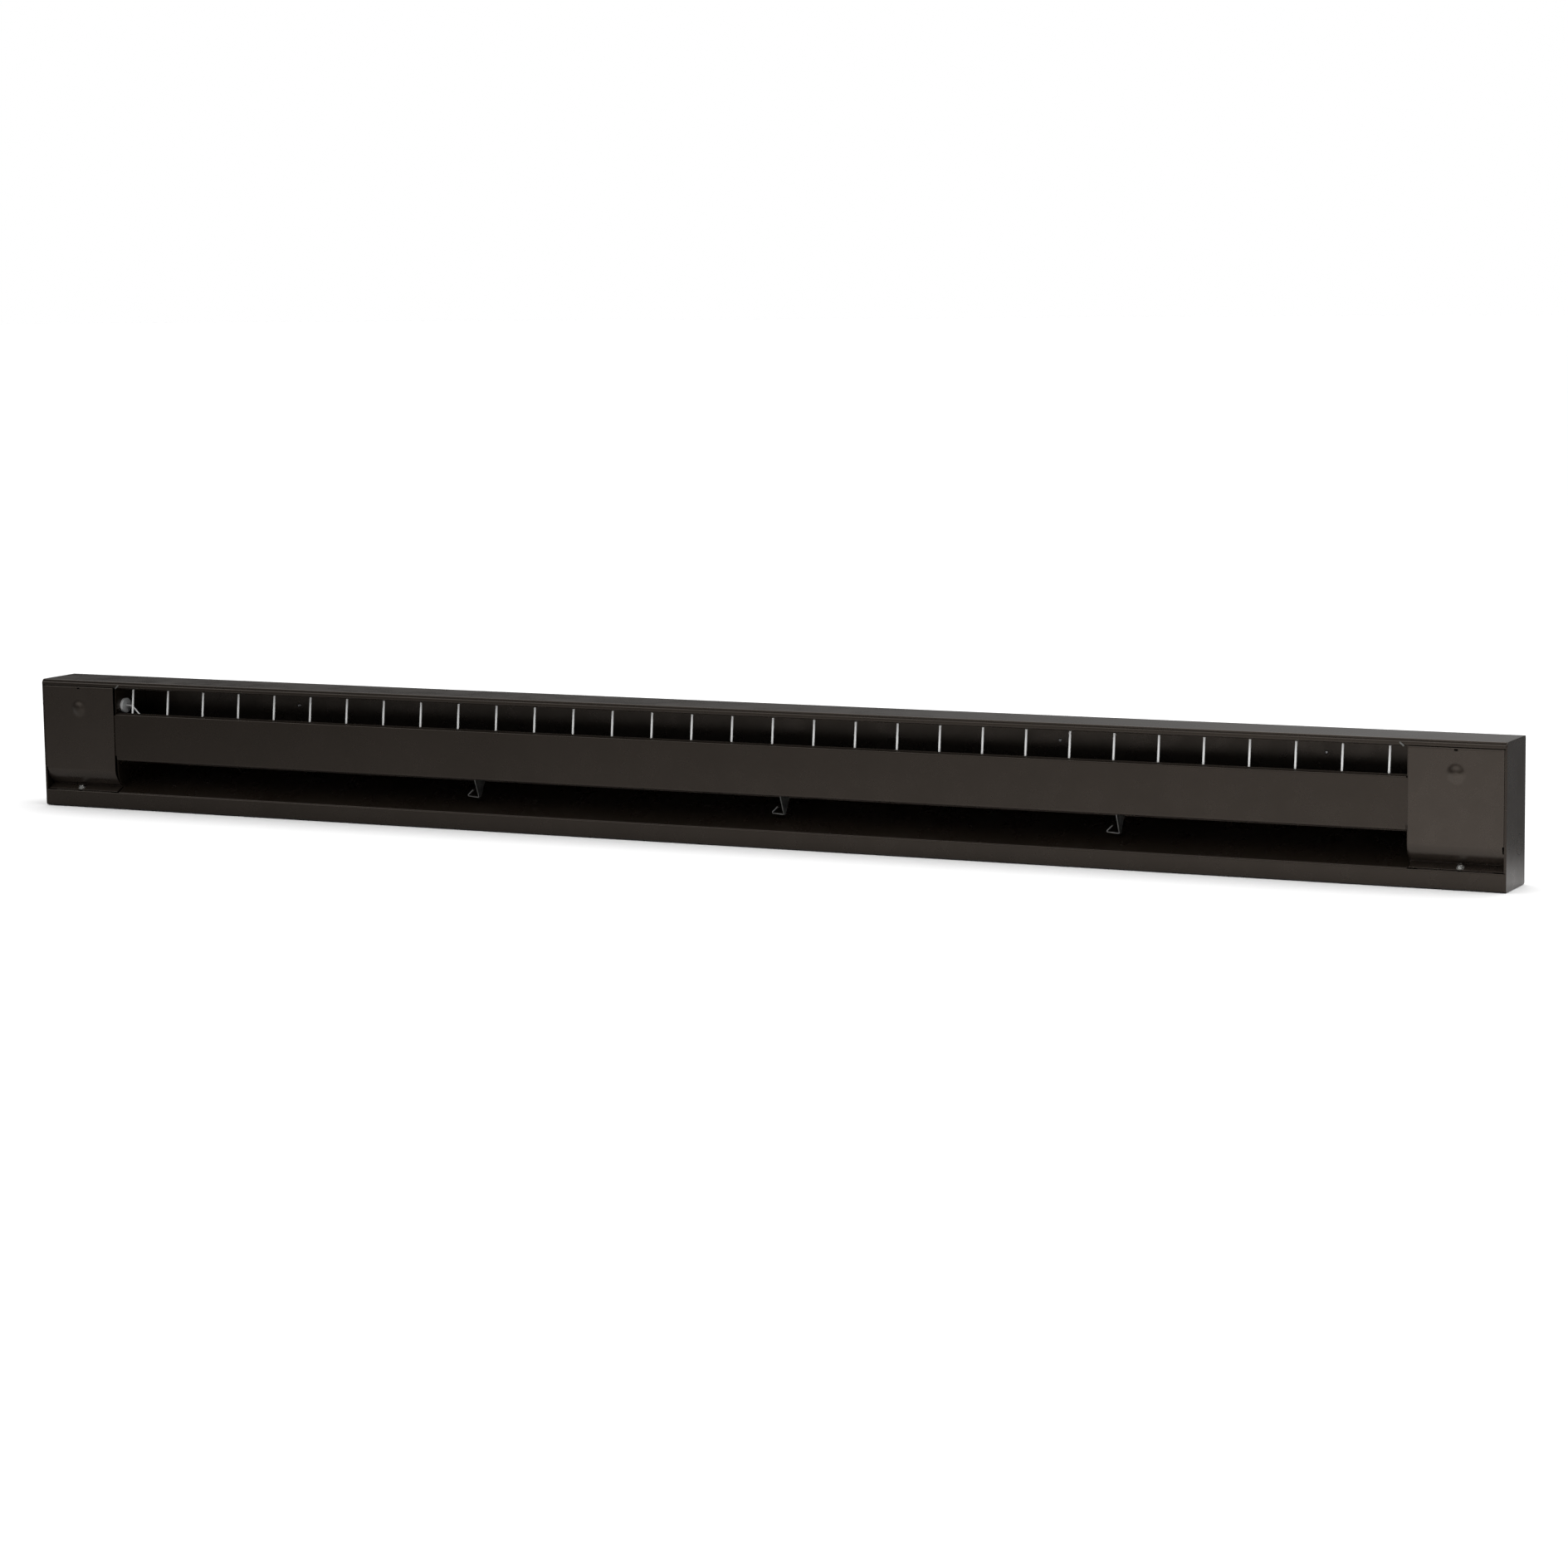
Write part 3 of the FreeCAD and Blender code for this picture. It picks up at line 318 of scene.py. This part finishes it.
def guard_rods(material):
    """The guard's bars: round wire with domed ends, flattened a little where it is welded."""
    low, high = corners_of("guard_bars")
    lean = high.y - low.y - 2 * BAR_RADIUS
    pitch = (high.x - low.x - 2 * BAR_RADIUS) / (BAR_COUNT - 1)
    length = high.z - low.z
    levels = list(BAR_DOME) + [(length / 2, 1.0)] + [(length - t, r) for t, r in reversed(BAR_DOME)]
    angles = [2 * math.pi * k / BAR_SIDES for k in range(BAR_SIDES)]
    bm = bmesh.new()
    for i in range(BAR_COUNT):
        x = low.x + BAR_RADIUS + i * pitch
        rings = []
        for height, scale in levels:
            centre = Vector((x, low.y + BAR_RADIUS + lean * height / length, low.z + height))
            to_end = min(height, length - height)
            flat = 1.0 - BAR_FLATTENING * max(0.0, 1.0 - to_end / BAR_FLAT_REACH)
            radius = scale * BAR_RADIUS
            rings.append([bm.verts.new(centre + Vector((math.cos(a), math.sin(a) * flat, 0)) * radius)
                          for a in angles])
        join_rings(bm, rings)
    bmesh.ops.remove_doubles(bm, verts=bm.verts, dist=1e-7)
    piece = mesh_object("guard_bar_wires", bm, material, 60)
    return finish_piece(piece, "casing", "guard_zinc", "guard_bars")


# ---------------------------------------------------------------- junction covers

SHEET = 1.0 * MM
COVER_FACE = SHEET / 2          # depths run back from the sheet's front, heights up from the floor
HOOK_DEPTH = 3.75 * MM
HOOK_TOP = 150.0 * MM
HOOK_FOOT = 146.2 * MM
CREASE_Z = 45.5 * MM
COVER_CREASE = math.radians(15)
COVER_TURN = math.radians(42)
COVER_CURVE = 32.0 * MM
CURVE_LEAD = 0.2 * MM
FOLD = Vector((15.1 * MM, 26.0 * MM))
FLANGE_SLOPE = math.radians(25)
FLANGE_TIP = 2.9 * MM
COVER_RADII = (0.8 * MM, 0.8 * MM, 1.0 * MM, COVER_CURVE, 0.7 * MM)
WIDE_ARC = 5 * MM
ARC_STEPS = 8
NOTCH_Z = (143.6 * MM, 145.4 * MM)
NOTCH_HALF = 2 * MM
NOTCH_DEPTHS = (3.0 * MM, 4.5 * MM)     # of a cell's upper and lower edge, so the hook stays whole
RELIEF_Z = (39.5 * MM, 47.0 * MM)
RELIEF_WIDTH = 1.5 * MM
RELIEF_DEPTH = 4 * MM
COVER_COLUMNS = 68
LONGEST_CELL = 1.5 * MM
DIMPLE_STAND = 2.4 * MM         # the CAD box reaches this far in front of the sheet
DIMPLE_RISE = 2.35 * MM
DIMPLE_Z = 120.0 * MM
DIMPLE_FLAT = 2.0 * MM
DIMPLE_FALL = 8.2 * MM
DIMPLE_REACH = 11.0 * MM
RIM_BEVEL = 0.18 * MM


def rounded_path(points, radii):
    """Polyline through points with tangent arcs at its corners, in the depth-height plane."""
    path = [Vector(points[0])]
    for i in range(1, len(points) - 1):
        radius = radii[i - 1]
        corner = Vector(points[i])
        before = (corner - Vector(points[i - 1])).normalized()
        after = (Vector(points[i + 1]) - corner).normalized()
        turn = before.angle(after)
        reach = radius * math.tan(turn / 2)
        centre = corner + (after - before).normalized() * (radius / math.cos(turn / 2))
        spoke_a = corner - before * reach - centre
        spoke_b = corner + after * reach - centre
        count = ARC_STEPS if radius < WIDE_ARC else 3 * ARC_STEPS
        for k in range(count + 1):
            a = math.sin((1 - k / count) * turn) / math.sin(turn)
            b = math.sin(k / count * turn) / math.sin(turn)
            path.append(centre + spoke_a * a + spoke_b * b)
    path.append(Vector(points[-1]))
    return path


def split_long(path, heights, longest):
    """Adds points on a path's long straight stretches and at the named heights."""
    out = [path[0]]
    for a, b in zip(path, path[1:]):
        cuts = set()
        span = (b - a).length
        count = max(1, int(math.ceil(span / longest)))
        cuts.update(k / count for k in range(1, count))
        if abs(b.y - a.y) > 1e-9:
            for level in heights:
                t = (level - a.y) / (b.y - a.y)
                if 1e-4 < t < 1 - 1e-4:
                    cuts.add(t)
        for t in sorted(cuts):
            out.append(a.lerp(b, t))
        out.append(b)
    return out


def cover_path():
    """The cover's section from the tip of its hook down to the tip of its screw flange."""
    reach = COVER_CURVE * math.tan(COVER_TURN / 2) + CURVE_LEAD
    bend = Vector((COVER_FACE, CREASE_Z))
    curve = bend + Vector((math.sin(COVER_CREASE), -math.cos(COVER_CREASE))) * reach
    tip = Vector((FLANGE_TIP, FOLD.y - math.tan(FLANGE_SLOPE) * (FOLD.x - FLANGE_TIP)))
    points = [(HOOK_DEPTH, HOOK_TOP), (HOOK_DEPTH, HOOK_FOOT), (COVER_FACE, HOOK_FOOT), bend, curve, FOLD, tip]
    return split_long(rounded_path(points, COVER_RADII), NOTCH_Z + RELIEF_Z, LONGEST_CELL)


def dimple_rise(point, from_middle):
    """How far the pressed dimple lifts a point of the flat face."""
    distance = math.hypot(from_middle, point.y - DIMPLE_Z)
    if abs(point.x - COVER_FACE) > 1e-6 or distance >= DIMPLE_REACH:
        return 0.0
    t = min(1.0, max(0.0, (distance - DIMPLE_FLAT) / DIMPLE_FALL))
    return DIMPLE_RISE * (1 - t * t * (3 - 2 * t))


def cover_shell(side, material):
    """Junction cover in fine mesh: hooked top, pressed dimple, curved foot and screw flange."""
    node = "junction_cover_" + side
    low, high = corners_of(node)
    front = low.y + DIMPLE_STAND
    middle = (low.x + high.x) / 2
    outer = low.x if side == "left" else high.x
    relief_x = outer + (RELIEF_WIDTH if side == "left" else -RELIEF_WIDTH)
    path = cover_path()
    columns = [low.x + (high.x - low.x) * k / COVER_COLUMNS for k in range(COVER_COLUMNS + 1)]
    for x in (middle - NOTCH_HALF, middle + NOTCH_HALF, relief_x):
        nearest = min(range(1, COVER_COLUMNS), key=lambda k: abs(columns[k] - x))
        columns[nearest] = x

    bm = bmesh.new()
    grid = [[bm.verts.new((x, front + p.x - dimple_rise(p, x - middle), p.y)) for x in columns] for p in path]
    for r, (p, q) in enumerate(zip(path, path[1:])):
        mid_z = (p.y + q.y) / 2
        in_face = p.x < NOTCH_DEPTHS[0] and q.x < NOTCH_DEPTHS[1]
        for c in range(COVER_COLUMNS):
            mid_x = (columns[c] + columns[c + 1]) / 2
            if in_face and abs(mid_x - middle) < NOTCH_HALF and NOTCH_Z[0] < mid_z < NOTCH_Z[1]:
                continue
            if abs(mid_x - outer) < RELIEF_WIDTH and RELIEF_Z[0] < mid_z < RELIEF_Z[1] and p.x < RELIEF_DEPTH:
                continue
            bm.faces.new((grid[r][c], grid[r][c + 1], grid[r + 1][c + 1], grid[r + 1][c]))
    piece = mesh_object("cover_shell_" + side, bm, material, 50)
    thick = piece.modifiers.new("sheet", "SOLIDIFY")
    thick.thickness = SHEET
    thick.offset = 0.0
    thick.use_even_offset = True
    rim = piece.modifiers.new("rim", "BEVEL")
    rim.width = RIM_BEVEL
    rim.segments = 2
    rim.limit_method = "ANGLE"
    rim.angle_limit = math.radians(60)
    apply_modifiers(piece)
    piece.data.shade_smooth()
    piece.data.set_sharp_from_angle(angle=math.radians(50))
    return finish_piece(piece, "cover_" + side, "cover_paint", node)


# ---------------------------------------------------------------- lock tabs

TAB_START = 2.4 * MM            # from the partition's plate
LIP_SETBACK = 2.4 * MM          # the hood's lip behind the front of the CAD box
TAB_Z = 146.4 * MM
TAB_LENGTH = 6.0 * MM
TAB_TWIST = math.radians(38)
TAB_STATIONS = 10
TAB_WIDTH = 1.7 * MM
TAB_TAPER = 0.5 * MM
TAB_BOW = 0.25 * MM
TAB_STANDOFF = 0.05 * MM
TAB_SKINS = (Vector((0, -0.3 * MM, 0)), Vector((0, 0.4 * MM, 0)))


def lock_tab(side, material):
    """Bent tab of the partition, twisted over the hood's lip to lock it."""
    low, high = corners_of("partition_" + side)
    inward = 1 if side == "left" else -1
    plate_x = high.x if side == "left" else low.x
    normal = Vector((-math.sin(TAB_TWIST) * inward, 0, math.cos(TAB_TWIST)))
    near, far = TAB_SKINS
    bm = bmesh.new()
    rings = []
    for k in range(TAB_STATIONS + 1):
        t = k / TAB_STATIONS
        centre = Vector((plate_x + inward * (TAB_START + TAB_LENGTH * t * math.cos(TAB_TWIST)),
                         LOW.y + LIP_SETBACK + TAB_STANDOFF - TAB_BOW * math.sin(math.pi * t),
                         TAB_Z + TAB_LENGTH * t * math.sin(TAB_TWIST)))
        half = normal * (TAB_WIDTH - TAB_TAPER * t ** 4) / 2
        rings.append([bm.verts.new(centre + half + near), bm.verts.new(centre - half + near),
                      bm.verts.new(centre - half + far), bm.verts.new(centre + half + far)])
    join_rings(bm, rings)
    bm.faces.new(rings[0])
    bm.faces.new(list(reversed(rings[-1])))
    piece = mesh_object("lock_tab_" + side, bm, material, 40)
    return finish_piece(piece, "casing", "galvanised_steel")


# ---------------------------------------------------------------- studio

# Horizon around the heater: place from left (0) to right (1), and brightness
HORIZON_STOPS = ((0.0, 0.02), (0.20, 0.03), (0.28, 0.10), (0.36, 0.36), (0.50, 0.30), (0.58, 0.05),
                 (1.0, 0.03))
CEILING_RISE = (0.25, 0.65)
OVERHEAD_LEVEL = 1.35
TOP_POWER = 32.0
TOP_PLACE = (0.5, 0.5, 2.6)
TOP_TARGET = (0.0, 0.0, 0.1)
TOP_SIZE = (3.2, 1.8)
FLOOR_WHITE = 0.96
FLOOR_LEFT = (-1.5, 0.20)       # station and paleness of the floor as the paint mirrors it
FLOOR_RIGHT = (0.8, 0.95)
FLOOR_BEHIND = 0.14
BEHIND_REACH = 0.25
FLOOR_HALF = 30.0
FLOOR_GAP = 0.5 * MM


def light_world(tree):
    """White to the camera; to the heater a bright ceiling over a horizon that dims to both sides."""
    nodes, links = tree.nodes, tree.links
    direction = split_node(nodes, links, "Generated")
    across = range_node(nodes, links, direction["X"], -1.0, 1.0)
    horizon = nodes.new("ShaderNodeValToRGB")
    elements = horizon.color_ramp.elements
    for element, (place, level) in zip(elements, (HORIZON_STOPS[0], HORIZON_STOPS[-1])):
        element.position, element.color = place, grey(level)
    for place, level in HORIZON_STOPS[1:-1]:
        elements.new(place).color = grey(level)
    links.new(across, horizon.inputs["Fac"])
    height = range_node(nodes, links, direction["Z"], *CEILING_RISE)
    sky = toward_node(nodes, links, height, horizon.outputs["Color"], grey(OVERHEAD_LEVEL))
    links.new(camera_sees(nodes, links, sky, grey(1.0)), nodes["Background"].inputs["Color"])


def shade_floor(nodes, links):
    """Pale to the camera; dimmer to the left and behind where the heater's paint mirrors it, a painted shade
    in the floor's colour that only reflections and bounce light see.
    """
    shader = nodes["Principled BSDF"]
    shader.inputs["Roughness"].default_value = 0.9
    shader.inputs["Specular IOR Level"].default_value = 0.1
    place = split_node(nodes, links, "Object")
    (left, dim), (right, pale) = FLOOR_LEFT, FLOOR_RIGHT
    along = range_node(nodes, links, place["X"], left, right, dim, pale)
    behind = range_node(nodes, links, place["Y"], 0.0, BEHIND_REACH)
    mirrored = toward_node(nodes, links, behind, along, grey(FLOOR_BEHIND))
    links.new(camera_sees(nodes, links, mirrored, grey(FLOOR_WHITE)), shader.inputs["Base Color"])


def add_floor():
    """Flat floor just under the heater."""
    bm = bmesh.new()
    bmesh.ops.create_grid(bm, x_segments=2, y_segments=2, size=FLOOR_HALF)
    material, nodes, links = new_material("studio_floor")
    shade_floor(nodes, links)
    floor = mesh_object("studio_floor", bm, material)
    floor.location.z = LOW.z - FLOOR_GAP


def add_light(name, place, target, size, power):
    """Rectangular area light aimed at a point."""
    data = bpy.data.lights.new(name, "AREA")
    data.shape = "RECTANGLE"
    data.size, data.size_y = size
    data.energy = power
    lamp = bpy.data.objects.new(name, data)
    bpy.context.scene.collection.objects.link(lamp)
    lamp.location = place
    lamp.rotation_euler = (Vector(target) - Vector(place)).to_track_quat("-Z", "Y").to_euler()


def add_camera():
    """Camera at its named place, with the standard view of colours."""
    data = bpy.data.cameras.new("camera")
    data.lens = CAMERA_LENS
    data.sensor_width = CAMERA_SENSOR
    data.clip_end = 100.0
    camera = bpy.data.objects.new("camera", data)
    bpy.context.scene.collection.objects.link(camera)
    turn = Matrix((CAMERA_RIGHT, CAMERA_UP, CAMERA_BACK)).transposed().to_4x4()
    camera.matrix_world = Matrix.Translation(CAMERA_AT) @ turn
    bpy.context.scene.camera = camera
    bpy.context.scene.view_settings.view_transform = "Standard"


def studio():
    """Floor, world, one soft light above and the camera."""
    add_floor()
    world = bpy.data.worlds.new("studio_world")
    world.use_nodes = True
    light_world(world.node_tree)
    bpy.context.scene.world = world
    add_light("top_softbox", TOP_PLACE, TOP_TARGET, TOP_SIZE, TOP_POWER)
    add_camera()


def main():
    materials = {slot: finish_material(**finish) for slot, finish in FINISHES.items()}
    paint_frame(materials)
    studio()
    guard_rods(materials["guard_zinc"])
    for side in ("left", "right"):
        cover_shell(side, materials["cover_paint"])
        lock_tab(side, materials["galvanised_steel"])


main()
